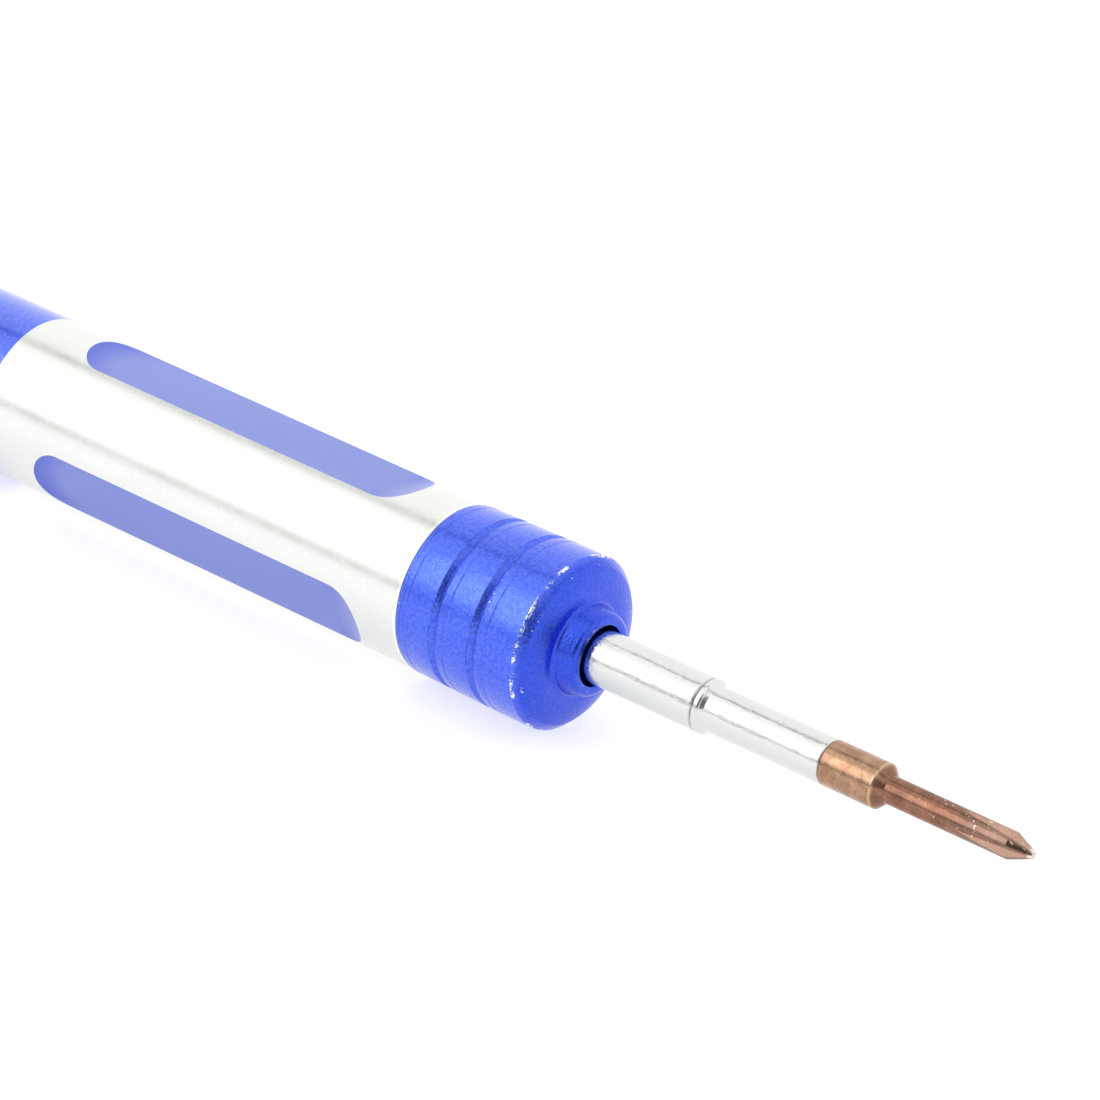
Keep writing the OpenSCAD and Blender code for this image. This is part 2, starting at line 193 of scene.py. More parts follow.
def lathe_tree():
    """Spins an outline about the axis; its first and last points lie on the axis or coincide."""
    sheet, given = new_tree("lathe", [
        ("Outline", "NodeSocketGeometry", None),
        ("Segments", "NodeSocketInt", 192),
        ("Axis Height", "NodeSocketFloat", AXIS),
        ("Sharp Angle", "NodeSocketFloat", SHARP),
        ("Finish", "NodeSocketMaterial", None)])
    size = sheet.node("GeometryNodeAttributeDomainSize", {"component": "MESH"}, {0: given["Outline"]})
    grid = sheet.node("GeometryNodeMeshGrid", None, {
        "Size X": 1.0, "Size Y": 1.0, "Vertices X": given["Segments"] + 1.0, "Vertices Y": size})
    place = sheet.split(sheet.node("GeometryNodeInputPosition"))
    turn = (place[0] + 0.5) * math.tau
    step = ((place[1] + 0.5) * (size - 1.0)).math("ROUND")
    point = sheet.node("GeometryNodeSampleIndex", {"data_type": "FLOAT_VECTOR", "domain": "POINT"}, {
        "Geometry": given["Outline"], "Value": sheet.node("GeometryNodeInputPosition"), "Index": step})
    along, radius, _ = sheet.split(point)
    spun = sheet.join(
        along, radius * turn.math("SINE"), radius * turn.math("COSINE") + given["Axis Height"])
    shape = sheet.node("GeometryNodeSetPosition", None, {"Geometry": grid, "Position": spun})
    shape = sheet.node("GeometryNodeMergeByDistance", None, {"Geometry": shape, "Distance": MERGE})
    return finish_tree(sheet, crisp(sheet, shape, given["Sharp Angle"]), given["Finish"])


LATHE = lathe_tree()
print("lathe tree:", len(LATHE.nodes), "nodes")

# %% [markdown]
# ## Cutting round the axis
# The grip's three flats and the tip's four flutes are the same cut made again at each turn of a
# dividing head. The tree puts one cutter at every turn, makes them real, and takes them off the
# turned piece. What the cutter leaves keeps the cutter's own finish, so a flat can be blue in a
# bright grip.

# %% The dividing head, as a second tree
def dividing_tree():
    """Takes a cutter off a blank, once at each turn of the dividing head."""
    sheet, given = new_tree("dividing_head", [
        ("Blank", "NodeSocketGeometry", None),
        ("Cutter", "NodeSocketObject", None),
        ("Cuts", "NodeSocketInt", 3),
        ("First Turn", "NodeSocketFloat", 0.0),
        ("Axis Height", "NodeSocketFloat", AXIS),
        ("Sharp Angle", "NodeSocketFloat", SHARP)])
    cutter = sheet.node("GeometryNodeObjectInfo", None, {"Object": given["Cutter"]}, "Geometry")
    points = sheet.node("GeometryNodePoints", None, {
        "Count": given["Cuts"], "Position": sheet.join(0.0, 0.0, given["Axis Height"])})
    index = sheet.node("GeometryNodeInputIndex")
    turn = sheet.join(-(given["First Turn"] + index * math.tau / given["Cuts"]), 0.0, 0.0)
    cutters = sheet.node("GeometryNodeInstanceOnPoints", None, {
        "Points": points, "Instance": cutter, "Rotation": turn})
    cutters = sheet.node("GeometryNodeRealizeInstances", None, {"Geometry": cutters})
    shape = sheet.node("GeometryNodeMeshBoolean", {"operation": "DIFFERENCE", "solver": "EXACT"}, {
        "Mesh 1": given["Blank"], "Mesh 2": cutters})
    return finish_tree(sheet, crisp(sheet, shape, given["Sharp Angle"]))


DIVIDING_HEAD = dividing_tree()
print("dividing head tree:", len(DIVIDING_HEAD.nodes), "nodes")

# %% [markdown]
# ## From outline to finished mesh
# No turned corner is perfectly sharp: the tool's nose and a touch of emery leave a tiny radius, and
# that radius is what catches the light. So every outline has its corners rounded before it is spun.
# The result is turned into a plain mesh, its faces are pointed outwards, and its size is printed.

# %% Rounding the corners of an outline
SAME_POINT = 1e-6    # mm: a side shorter than this is no side
LEAST_REACH = 0.004  # mm: a rounding smaller than this isn't worth its points
SIDE_SHARE = 0.45    # how much of a side the rounding at one of its ends may use


def soften(points, radius, steps=5, least=12.0):
    """The outline with each corner of more than `least` degrees rounded by at most `radius`."""
    done = [points[0]]
    for before, corner, after in zip(points, points[1:], points[2:]):
        mid = Vector(corner)
        a, b = Vector(before) - mid, Vector(after) - mid
        if min(a.length, b.length) < SAME_POINT:
            continue
        turn = math.degrees(math.pi - a.angle(b))
        reach = min(radius, SIDE_SHARE * a.length, SIDE_SHARE * b.length)
        if turn < least or reach < LEAST_REACH:
            done.append(corner)
            continue
        start, end = mid + a.normalized() * reach, mid + b.normalized() * reach
        for t in (i / steps for i in range(steps + 1)):
            done.append(tuple(start * (1 - t) ** 2 + mid * 2 * t * (1 - t) + end * t * t))
    return done + [points[-1]]


def arc(station, radius, size, start, end, steps=8):
    """Points of an arc about (station, radius); 0 degrees points away from the axis."""
    turns = [math.radians(start + (end - start) * i / steps) for i in range(steps + 1)]
    return [(station + size * math.sin(a), radius + size * math.cos(a)) for a in turns]


def groove(station, radius, depth, half_width):
    """A V-groove in a cylinder of that radius."""
    return [(station - half_width, radius), (station, radius - depth), (station + half_width, radius)]


print("a softened square corner has", len(soften([(0, 0), (1, 0), (1, 1)], 0.1)) - 2, "points")

# %% Making, checking and handing over a mesh
def in_scene(name, data):
    """A new object for the data, put in the scene."""
    obj = bpy.data.objects.new(name, data)
    bpy.context.scene.collection.objects.link(obj)
    return obj


def chain(name, points):
    """A temporary object holding an outline, as a chain of points in mm with the axis along X."""
    mesh = bpy.data.meshes.new(name)
    spots = [(station - MID, radius, 0.0) for station, radius in points]
    mesh.from_pydata(spots, [(i, i + 1) for i in range(len(spots) - 1)], [])
    return in_scene(name, mesh)


def add_tree(obj, tree, **values):
    """Adds a tree as a modifier, with each input set by its socket's identifier."""
    modifier = obj.modifiers.new(tree.name, "NODES")
    modifier.node_group = tree
    for item in tree.interface.items_tree:
        key = item.name.replace(" ", "_").lower()
        if item.item_type == "SOCKET" and item.in_out == "INPUT" and key in values:
            modifier[item.identifier] = values[key]


def plain_mesh(name, maker):
    """The maker's evaluated shape as a plain mesh in metres, faces outwards; the maker is removed."""
    bpy.context.view_layer.update()
    evaluated = maker.evaluated_get(bpy.context.evaluated_depsgraph_get())
    mesh = bpy.data.meshes.new_from_object(evaluated)
    bpy.data.objects.remove(maker)
    mesh.name = name
    if mesh.materials[0] is None:   # an empty slot that the bare outline brought along
        mesh.materials.pop(index=0)
    mesh.transform(Matrix.Scale(MM, 4))
    work = bmesh.new()
    work.from_mesh(mesh)
    bmesh.ops.recalc_face_normals(work, faces=work.faces)
    open_edges = sum(1 for e in work.edges if len(e.link_faces) != 2)
    volume = work.calc_volume(signed=True) / MM ** 3
    work.to_mesh(mesh)
    work.free()
    print(f"{name}: {len(mesh.polygons)} faces, {volume:.1f} mm3, open edges {open_edges}, "
          f"finishes {[m.name for m in mesh.materials]}")
    return mesh


def turned(name, points, finish, segments=192, corner=0.04, cutter=None, cuts=0, first=0.0):
    """A turned mesh, with cuts made round its axis if a cutter is given."""
    maker = chain(name + "_outline", soften(points, corner))
    add_tree(maker, LATHE, segments=segments, finish=finish)
    if cutter is not None:
        add_tree(maker, DIVIDING_HEAD, cutter=cutter, cuts=cuts, first_turn=math.radians(first))
    mesh = plain_mesh(name, maker)
    if cutter is not None:
        bpy.data.objects.remove(cutter)
    return mesh


def hand_over(name, mesh, body, slot, *nodes):
    """Puts the mesh in the scene as a piece that stands for CAD nodes and moves with their body."""
    obj = in_scene(name, mesh)
    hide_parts(*nodes)
    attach(obj, body)
    low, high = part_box(nodes[0])
    off = max(abs(min(v.co[i] for v in mesh.vertices) - low[i]) for i in range(3))
    off = max(off, *(abs(max(v.co[i] for v in mesh.vertices) - high[i]) for i in range(3)))
    print(f"{name}: {off / MM:.3f} mm between its box and the frame's")


# %% [markdown]
# ## Finishes
# A finish is more than a colour: it is how fine the grain is, how evenly it scatters light, and
# where handling has worn it. All patterns are read in object coordinates and in millimetres, so
# their scale is the real one. The helpers below give each material its place along the tool, its
# distance from the axis, and noise of a stated grain size.

# %% Helpers for the finishes
class Finish(Sheet):
    """A material being drawn, with the place on the tool as ready-made wires."""

    def __init__(self, name):
        self.material = bpy.data.materials.new(name)
        self.material.use_nodes = True
        super().__init__(self.material.node_tree)
        self.tree.nodes.clear()
        place = self.node("ShaderNodeTexCoord", None, None, "Object")
        self.place = self.node(
            "ShaderNodeVectorMath", {"operation": "SCALE"}, {"Vector": place, "Scale": 1 / MM})
        along, across, height = self.split(self.place)
        up = height - AXIS
        self.radius = self.math("SQRT", across * across + up * up)
        self.station = along + MID

    def noise(self, size, detail=2.0, rough=0.5, stretch=(1, 1, 1), seed=0.0):
        """Noise from 0 to 1 whose lumps are about `size` mm across."""
        spot = self.vector("MULTIPLY", self.place, stretch)
        return self.node("ShaderNodeTexNoise", {"noise_dimensions": "4D"}, {
            "Vector": spot, "W": seed, "Scale": 0.5 / size, "Detail": detail, "Roughness": rough})

    def rings(self, size, detail=3.0, seed=0.0):
        """Turning marks: noise that changes along a cylinder, and outwards over an end face."""
        return self.node("ShaderNodeTexNoise", {"noise_dimensions": "1D"}, {
            "W": self.station + self.radius + seed, "Scale": 0.5 / size,
            "Detail": detail, "Roughness": 0.7})

    def spread(self, value, low, high):
        """The value's stretch from low to high, made 0 to 1."""
        return self.node("ShaderNodeMapRange", {"clamp": True}, {
            "Value": value, "From Min": low, "From Max": high})

    def mix(self, share, first, second):
        """The first colour, turning into the second as the share goes from 0 to 1."""
        return self.node("ShaderNodeMix", {"data_type": "RGBA"}, {0: share, 6: first, 7: second}, 2)

    def near(self, station, radius, reach):
        """1 on the ring at that station and radius, falling to 0 at `reach` mm from it."""
        along, out = self.station - station, self.radius - radius
        return (1.0 - self.math("SQRT", along * along + out * out) / reach).clamp()

    def done(self, colour, roughness, metallic=1.0, height=None, depth=0.01, **fixed):
        """Ends the material. `depth` is the height of the bump in mm; fixed values go on the shader."""
        sockets = {"Base Color": colour, "Roughness": roughness, "Metallic": metallic}
        if height is not None:
            sockets["Normal"] = self.node("ShaderNodeBump", None, {
                "Height": height, "Strength": 1.0, "Distance": depth * MM})
        sockets.update({key.replace("_", " "): value for key, value in fixed.items()})
        shader = self.node("ShaderNodeBsdfPrincipled", None, sockets)
        self.node("ShaderNodeOutputMaterial", None, {"Surface": shader})
        print(f"finish {self.material.name}: {len(self.tree.nodes)} nodes")
        return self.material


# %% [markdown]
# ### Blue anodising
# The aluminium is blasted with fine beads, which leaves a satin grain, and then dyed in its oxide
# skin. The skin is thin, so handling knocks it off the proud edges first and shows bare metal. A
# painted look would be too flat, so the shader is dyed metal under a clear coat, as the real skin
# is. The flats were milled before the dyeing; they are smoother, and their paler blue is painted sheen.

# %% Blue anodising, with worn edges
BARE = (0.86, 0.87, 0.89, 1)                     # the aluminium where its skin is gone
DEEP_DYE, LIGHT_DYE = (0.017, 0.062, 0.66, 1), (0.088, 0.178, 0.96, 1)
FACE_SHADE_BLUE = (0.006, 0.042, 0.60, 1)               # painted shade: the deeper blue of the nose's face
LINE_SHADE_BLUE = (0.006, 0.018, 0.22, 1)              # painted shade in a fine scribed line or at a groove's edge
LINE_HALF = 0.05                                 # half the width of that line, in mm
OXIDE_IOR = 1.65                                 # the glassy oxide skin over the dyed metal


def blue_anodising(name, worn, scribed=(), specks=0.0, haze=0.55, face_shade_from=None):
    """Dyed grainy metal under a clear oxide skin.

    `worn` lists rings by station, radius, reach in mm and how far the skin is gone there. `scribed`
    lists the stations of lines darkened with painted shade, `specks` adds bare specks all over, `haze`
    is how strongly the skin reflects, and painted shade deepens the blue in front of the station
    `face_shade_from`.
    """
    f = Finish(name)
    grain = f.noise(0.10, 2.0, 0.6)
    cloud = f.noise(1.8, 3.0, 0.6, seed=21.0)
    share = (f.spread(grain, 0.32, 0.68) * 0.55 + cloud * 0.3 + 0.08).clamp()
    colour = f.mix(share, DEEP_DYE, LIGHT_DYE)
    chips = f.noise(0.13, 4.0, 0.8, seed=3.0)
    patches = f.spread(f.noise(1.1, 3.0, 0.6, seed=7.0), 0.36, 0.54)
    bare = f.spread(f.noise(0.10, 2.0, 0.5, seed=11.0), 0.775 - specks, 0.79 - specks)
    for station, radius, reach, amount in worn:
        ring = (f.near(station, radius, reach) * 2.2).clamp() * amount
        chip = f.spread(chips + ring * patches * 0.27, 0.725, 0.745) * (ring > 0.02)
        bare = bare.math("MAXIMUM", chip)
    # Painted shade: dark blue along the scribed lines and groove edges, broken up by noise.
    lines = sum(((1.0 - abs(f.station - at) / LINE_HALF).clamp() for at in scribed), 0.0)
    breaks = f.spread(f.noise(0.5, 3.0, 0.7, seed=15.0), 0.40, 0.55)
    colour = f.mix(lines * breaks * 0.75, colour, LINE_SHADE_BLUE)
    # Painted shade: in front of `face_shade_from` the face is coloured a deeper blue and its coat is
    # thinned.
    if face_shade_from is not None:
        face_shade = f.spread(f.station, face_shade_from, face_shade_from + 0.25)
        colour = f.mix(face_shade * 0.6, colour, FACE_SHADE_BLUE)
        haze = haze - face_shade * 0.25
    colour = f.mix(bare, colour, BARE)
    return f.done(colour, 0.22 + grain * 0.10 - bare * 0.05, 0.94 + bare * 0.06,
                  grain - bare * 0.4, 0.042, Coat_Weight=haze, Coat_Roughness=0.15, Coat_IOR=OXIDE_IOR)


# %% Blue anodising in the milled flats
# Painted sheen: the flats get a paler, greyer copy of the dyed blue for the white they reflect.
SHEEN_PALE_DEEP, SHEEN_PALE_LIGHT = (0.112, 0.167, 0.60, 1), (0.171, 0.225, 0.69, 1)
RUN_OUT_SHADE_BLUE = (0.054, 0.104, 0.60, 1)
RUN_OUT = 1.3     # mm over which the painted shade fades at the rear end of a flat


def blue_milled(name):
    """The same skin in the milled flats: finer, paler with painted sheen, and with painted shade where
    the cutter ran out.
    """
    f = Finish(name)
    grain = f.noise(0.07, 2.0, 0.6)
    cloud = f.noise(3.0, 3.0, 0.6, stretch=(0.35, 1, 1), seed=31.0)
    mill = f.rings(0.12, 2.0, seed=60.0)
    share = (f.spread(cloud, 0.3, 0.7) * 0.6 + grain * 0.3 + mill * 0.15).clamp()
    colour = f.mix(share, SHEEN_PALE_DEEP, SHEEN_PALE_LIGHT)
    # Painted shade: the curved run-outs at the ends of a flat are coloured a deeper blue.
    level = (f.spread(f.station, FLAT_START, FLAT_START + RUN_OUT)
             * (1.0 - f.spread(f.station, FLAT_END - 0.8, FLAT_END + 0.2)))
    raised = f.spread(f.radius, FLAT_R + 0.03, FLAT_R + 0.35)
    colour = f.mix(raised * (1.0 - level) * 0.55, colour, RUN_OUT_SHADE_BLUE)
    return f.done(colour, 0.34 + grain * 0.1, 0.94, grain * 0.6 + mill * 0.4, 0.004,
                  Coat_Weight=0.7, Coat_Roughness=0.30, Coat_IOR=OXIDE_IOR)


# %% The blue pieces, each with its own worn rings and scribed lines
NOSE_WEAR = [
    (EDGE + 0.02, 4.88, 0.16, 1.0),      # the front edge, worst of all
    (EDGE + 0.4, 4.5, 0.12, 0.5),        # where the chamfer meets the face
    (87.78, 4.88, 0.12, 0.5),            # the front groove's edge
    (NOSE + 0.08, 4.79, 0.12, 0.5),      # the rear edge
    (MOUTH - 0.2, 1.9, 0.3, 0.45),       # the mouth, rubbed by the blade
]
# Stations of the lines darkened with painted shade, on the nose and on the cap.
NOSE_LINES = (82.5, 84.55, 85.1, 87.2, 87.76)
CAP_WEAR = [(0.26, 4.64, 0.25, 0.9), (11.3, REAR_R, 0.16, 0.5)]
CAP_LINES = (3.05, 3.6, 5.75, 6.3)
HANDLE_WEAR = [(BARREL + 0.2, REAR_R, 0.16, 0.6)]
BLUE_NOSE = blue_anodising(
    "blue_anodised_nose", NOSE_WEAR, NOSE_LINES, specks=0.012, face_shade_from=EDGE + 0.05)
BLUE_CAP = blue_anodising("blue_anodised_cap", CAP_WEAR, CAP_LINES, specks=0.006)
BLUE_HANDLE = blue_anodising("blue_anodised_handle", HANDLE_WEAR, haze=1.0)
BLUE_FLATS = blue_milled("blue_anodised_flats")

# %% [markdown]
# ### Bright turned aluminium, polished plate and copper coating
# The grip was anodised with the rest and then skimmed bright on the lathe, so it carries fine
# rings and no dye. The shaft is polished and plated. The bit has a thin copper-coloured coating
# over turned steel; it is darker in the turning marks, and rubbed through in tiny specks.

# %% Bright turned grip and disc
HAZED, FRESH, LIP_HIGHLIGHT_WHITE = (0.70, 0.715, 0.69, 1), (0.86, 0.87, 0.85, 1), (0.99, 0.99, 0.98, 1)
LIP_HIGHLIGHT_HALF = 0.12    # half the width of the painted highlight on the lip, in mm


def bright_turned(name, lip=None):
    """Fine turning rings with a haze of handling; `lip` is a station given a painted highlight."""
    f = Finish(name)
    rings = f.rings(0.06, 4.0)
    broad = f.rings(0.9, 2.0, seed=40.0)
    haze = f.noise(1.5, 4.0, 0.65, stretch=(0.4, 1, 1))
    scratches = f.spread(f.noise(0.05, 3.0, 0.6, stretch=(6.0, 0.5, 0.5), seed=5.0), 0.60, 0.74)
    share = (haze * 0.7 + rings * 0.3 + 0.1).clamp()
    colour = f.mix(share, HAZED, FRESH)
    # Painted highlight: a near-white band at the lip.
    if lip is not None:
        colour = f.mix((1.0 - abs(f.station - lip) / LIP_HIGHLIGHT_HALF).clamp(), colour, LIP_HIGHLIGHT_WHITE)
    roughness = 0.17 + haze * 0.14 + broad * 0.06 + scratches * 0.12
    return f.done(colour, roughness, 1.0, rings * 0.8 + scratches * 0.3 + broad * 0.8, 0.004)


BRIGHT_GRIP = bright_turned("bright_turned_aluminium", lip=NOSE - 0.1)
BRIGHT_DISC = bright_turned("bright_turned_disc")


# %% Polished plate on the shaft
CLEAN_PLATE, SMEARED_PLATE = (0.745, 0.76, 0.745, 1), (0.61, 0.62, 0.60, 1)
GROOVE_SHADE = (0.25, 0.24, 0.22, 1)    # painted shade in the scribed groove


def polished_plate(name):
    """Thin plate over ground steel: slightly wavy, with a dull smear and a few pits."""
    f = Finish(name)
    rings = f.rings(0.09, 3.0)
    waves = f.noise(0.30, 5.0, 0.68, stretch=(0.35, 1, 1), seed=13.0)
    smear = f.noise(0.8, 3.0, 0.6, stretch=(0.3, 1, 1))
    pits = f.spread(f.noise(0.09, 4.0, 0.7, seed=9.0), 0.68, 0.74)
    # Painted shade: the scribed groove on the shaft is coloured darker.
    scribed = f.near(SHAFT_LINE, SHAFT_R - 0.1, 0.13)
    colour = f.mix((smear * 0.6 + pits * 0.4).clamp(), CLEAN_PLATE, SMEARED_PLATE)
    colour = f.mix((scribed * 0.8).clamp(), colour, GROOVE_SHADE)
    height = waves + rings * 0.06 - pits * 0.15
    return f.done(colour, 0.05 + smear * 0.07 + pits * 0.15, 1.0, height, 0.045)


PLATE = polished_plate("polished_plate")


# %% Copper-coloured coating on the bit
DARK_COLLAR, LIGHT_COLLAR = (0.22, 0.115, 0.068, 1), (0.56, 0.345, 0.225, 1)
DARK_SHANK, LIGHT_SHANK = (0.13, 0.058, 0.040, 1), (0.36, 0.180, 0.120, 1)
GREY_BROWN, WORN_STEEL = (0.27, 0.20, 0.165, 1), (0.86, 0.78, 0.70, 1)
RIM_HIGHLIGHT_COPPER, POINT_STEEL = (0.66, 0.46, 0.31, 1), (0.75, 0.68, 0.62, 1)


def copper_coating(name):
    """A thin brown copper coating, lighter on the collar, rubbed through in specks by the tip."""
    f = Finish(name)
    rings = f.rings(0.07, 4.0)
    blotch = f.noise(0.45, 4.0, 0.65)
    fine = f.noise(0.09, 3.0, 0.65, seed=17.0)
    shade = f.spread(blotch * 0.8 + fine * 0.45 + rings * 0.15, 0.45, 0.92)
    collar = f.mix(shade, DARK_COLLAR, LIGHT_COLLAR)
    shank = f.mix(shade, DARK_SHANK, LIGHT_SHANK)
    colour = f.mix(f.spread(f.station, COLLAR_END - 0.15, COLLAR_END + 0.2), collar, shank)
    colour = f.mix(f.spread(f.station, TIP - 5.2, TIP - 2.6) * 0.45, colour, GREY_BROWN)
    by_the_tip = f.spread(f.station, TIP - 8.0, TIP - 3.5)
    specks = f.spread(f.noise(0.08, 2.0, 0.5, seed=2.0), 0.665, 0.70) * by_the_tip
    colour = f.mix(specks, colour, WORN_STEEL)
    # Painted highlight: a lighter copper ring on the front edge of the collar.
    rim = f.near(COLLAR_END, NECK_R, 0.14)
    colour = f.mix((rim * 0.8).clamp(), colour, RIM_HIGHLIGHT_COPPER)
    point = f.near(TIP, 0.1, 0.35)
    colour = f.mix((point * 0.9).clamp(), colour, POINT_STEEL)
    return f.done(colour, 0.12 + blotch * 0.12 + rings * 0.05, 1.0,
                  rings * 0.2 + blotch * 0.8 + fine * 0.4 + specks * 0.4, 0.016)


COPPER = copper_coating("copper_coating")

# %% [markdown]
# ## The handle
# One bar from the cap to the nose: blue behind, bright on the grip, and blue again in the flats.
# Its bores at both ends hold the cap's pivot and the blade's socket. The cutter leaves each end of
# a flat as a short curve, because a round milling cutter was plunged in from above.

# %% The milling cutter
CUTTER_R = 4.0       # radius of the round cutter, which shapes the ends of each flat
CUTTER_HALF = 6.0    # half its width, more than the bar's
STEP = 3.75          # degrees between the points of a curved end


def bridged(name, first, second, finish):
    """A closed cutter that runs between two outlines with the same number of points, in mm."""
    n = len(first)
    faces = [tuple(range(n)), tuple(range(2 * n - 1, n - 1, -1))]
    faces += [(i, i + n, (i + 1) % n + n, (i + 1) % n) for i in range(n)]
    mesh = bpy.data.meshes.new(name)
    mesh.from_pydata(first + second, [], faces)
    mesh.materials.append(finish)
    work = bmesh.new()
    work.from_mesh(mesh)
    bmesh.ops.recalc_face_normals(work, faces=work.faces)
    work.to_mesh(mesh)
    work.free()
    return in_scene(name, mesh)


def slot_cutter(name, finish):
    """The space swept by the cutter: flat below, with a quarter-round rise at each end."""
    turns = [math.radians(STEP * i) for i in range(round(90 / STEP) + 1)]
    rear = [(FLAT_START - CUTTER_R * math.cos(a), FLAT_R + CUTTER_R * (1 - math.sin(a))) for a in turns]
    side = rear + [(FLAT_START + FLAT_END - station, r) for station, r in reversed(rear)]
    walls = [[(station - MID, y, r) for station, r in side] for y in (-CUTTER_HALF, CUTTER_HALF)]
    return bridged(name, *walls, finish)


# %% Turning and milling the bar
PLUG_R, PLUG_DEPTH = 3.42, 20.72         # the rear bore, for the cap's pivot plug
SOCKET_R, SOCKET_DEPTH = 2.62, 66.18     # the front bore, for the blade's socket
SPIGOT_R, SEAT_R = 4.0, 3.2              # the spigot that holds the nose, and its O-ring's seat
bar = [(PLUG_DEPTH, 0.0), (PLUG_DEPTH, PLUG_R), (BARREL, PLUG_R), (BARREL, 4.57), (11.9, REAR_R),
       (GRIP, REAR_R), (GRIP, GRIP_R), (NOSE, GRIP_R), (NOSE, SPIGOT_R),
       (82.6, SPIGOT_R), (82.6, SEAT_R), (83.6, SEAT_R), (83.6, SPIGOT_R),
       (87.9, SPIGOT_R), (88.2, 3.7), (88.2, SOCKET_R), (SOCKET_DEPTH, SOCKET_R), (SOCKET_DEPTH, 0.0)]
handle_mesh = turned("handle_bar", bar, BRIGHT_GRIP, corner=0.03,
                     cutter=slot_cutter("slot_cutter", BLUE_FLATS), cuts=3)

# %% The blue rear of the bar
handle_mesh.materials.append(BLUE_HANDLE)
blue_index = len(handle_mesh.materials) - 1
for face in handle_mesh.polygons:
    if face.center.x / MM + MID < GRIP - 0.005:    # behind the small step down to the grip
        face.material_index = blue_index
hand_over("handle_bar", handle_mesh, "handle", "handle_aluminium", "handle_barrel")
print("blue faces:", sum(1 for p in handle_mesh.polygons if p.material_index == blue_index))

# %% [markdown]
# ## The nose
# A separate ferrule screwed on in front of the grip: three bands with V-grooves between them, fine
# scribed lines, a chamfered front edge, a gently domed face and a small boss round the blade.
# Loop cuts and bevels on a cylinder could give all that, but an outline names each groove by its
# station and depth, and the lathe tree spins them in one go. The outline is a closed loop, so the
# piece is hollow like the real one.

# %% Turning the nose
SCRIBE, V_SIZE = 0.03, 0.24                       # depths of a scribed line and of a V-groove
FIRST_R, BORE_R, CAVITY_R = 4.79, 1.7, 4.02       # the rear band, the blade's hole and the thread
FACE_FOOT, FACE_REACH, FACE_RISE = 2.8, 1.65, 0.35    # the domed face: its inner radius and its rise
dome_r = (FACE_REACH ** 2 + FACE_RISE ** 2) / (2 * FACE_RISE)
dome_start = math.degrees(math.acos(FACE_REACH / dome_r))


def v_groove(station, radius):
    """One of the grooves that part the bands."""
    return groove(station, radius, V_SIZE, V_SIZE)


def scribed_line(station, radius):
    """A line as fine as a scriber leaves."""
    return groove(station, radius, SCRIBE, LINE_HALF)


nose = [(88.4, BORE_R), (88.4, CAVITY_R), (NOSE, CAVITY_R), (NOSE, 4.71), (82.28, FIRST_R)]
nose += scribed_line(82.85, FIRST_R + 0.02) + v_groove(84.8, FIRST_R + 0.05)
nose += scribed_line(85.55, 4.86) + v_groove(87.47, 4.88) + [(87.9, BAND_R)]
nose += scribed_line(88.3, BAND_R) + [(EDGE, BAND_R)]
nose += arc(EDGE + 0.8 - dome_r, FACE_FOOT, dome_r, dome_start, 90)
nose += arc(EDGE + 1.1, FACE_FOOT, 0.3, -105, -150, 4)
nose += arc(MOUTH - 0.35, 2.0, 0.35, 15, 90, 6)
nose += [(MOUTH, BORE_R + 0.06), (MOUTH - 0.06, BORE_R), (88.4, BORE_R)]
nose_mesh = turned("nose_ferrule_turned", nose, BLUE_NOSE)
hand_over("nose_ferrule_turned", nose_mesh, "handle", "blue_anodising", "nose_ferrule")

# %% [markdown]
# ## The swivel cap
# The cap repeats the nose's bands, and a bright disc is pressed into its end for the fingertip. A
# copy of the nose turned round would do for the outside, but the cap is bored for its bearing and
# has a groove for the circlip, so it gets an outline of its own from the same grooves and lines.

# %% Turning the cap and its disc
CAP_FRONT, WALL_R, CLIP_R, RECESS_R = 11.4, 3.02, 3.35, 3.32    # its rim, bore, groove and recess
cap = [(1.22, RECESS_R), (0.0, RECESS_R)] + arc(0.9, 4.0, 0.9, -90, 0, 8)
cap += v_groove(3.3, BAND_R) + scribed_line(3.95, BAND_R)
cap += v_groove(6.0, 4.87) + scribed_line(6.65, 4.86)
cap += [(11.3, REAR_R), (CAP_FRONT, 4.67), (CAP_FRONT, WALL_R), (11.07, WALL_R), (11.07, CLIP_R),
        (10.63, CLIP_R), (10.63, WALL_R), (8.1, WALL_R), (8.1, 2.5), (1.22, 2.5), (1.22, RECESS_R)]
cap_mesh = turned("swivel_cap_turned", cap, BLUE_CAP)
hand_over("swivel_cap_turned", cap_mesh, "cap", "blue_anodising", "swivel_cap")
disc = [(0.0, 0.0), (0.0, 3.2), (0.1, 3.3), (1.2, 3.3), (1.2, 0.0)]
disc_mesh = turned("cap_end_disc_turned", disc, BRIGHT_DISC)
hand_over("cap_end_disc_turned", disc_mesh, "cap", "bright_aluminium", "cap_end_disc")

# %% [markdown]
# ## The blade
# A hexagonal tang that the socket turns, a round guide, a scribed line and a small rounded step down
# to the neck. The tang could be milled with the dividing head, but a lathe with only six segments
# turns a hexagon at once. The two shapes meet face to face and share one mesh.

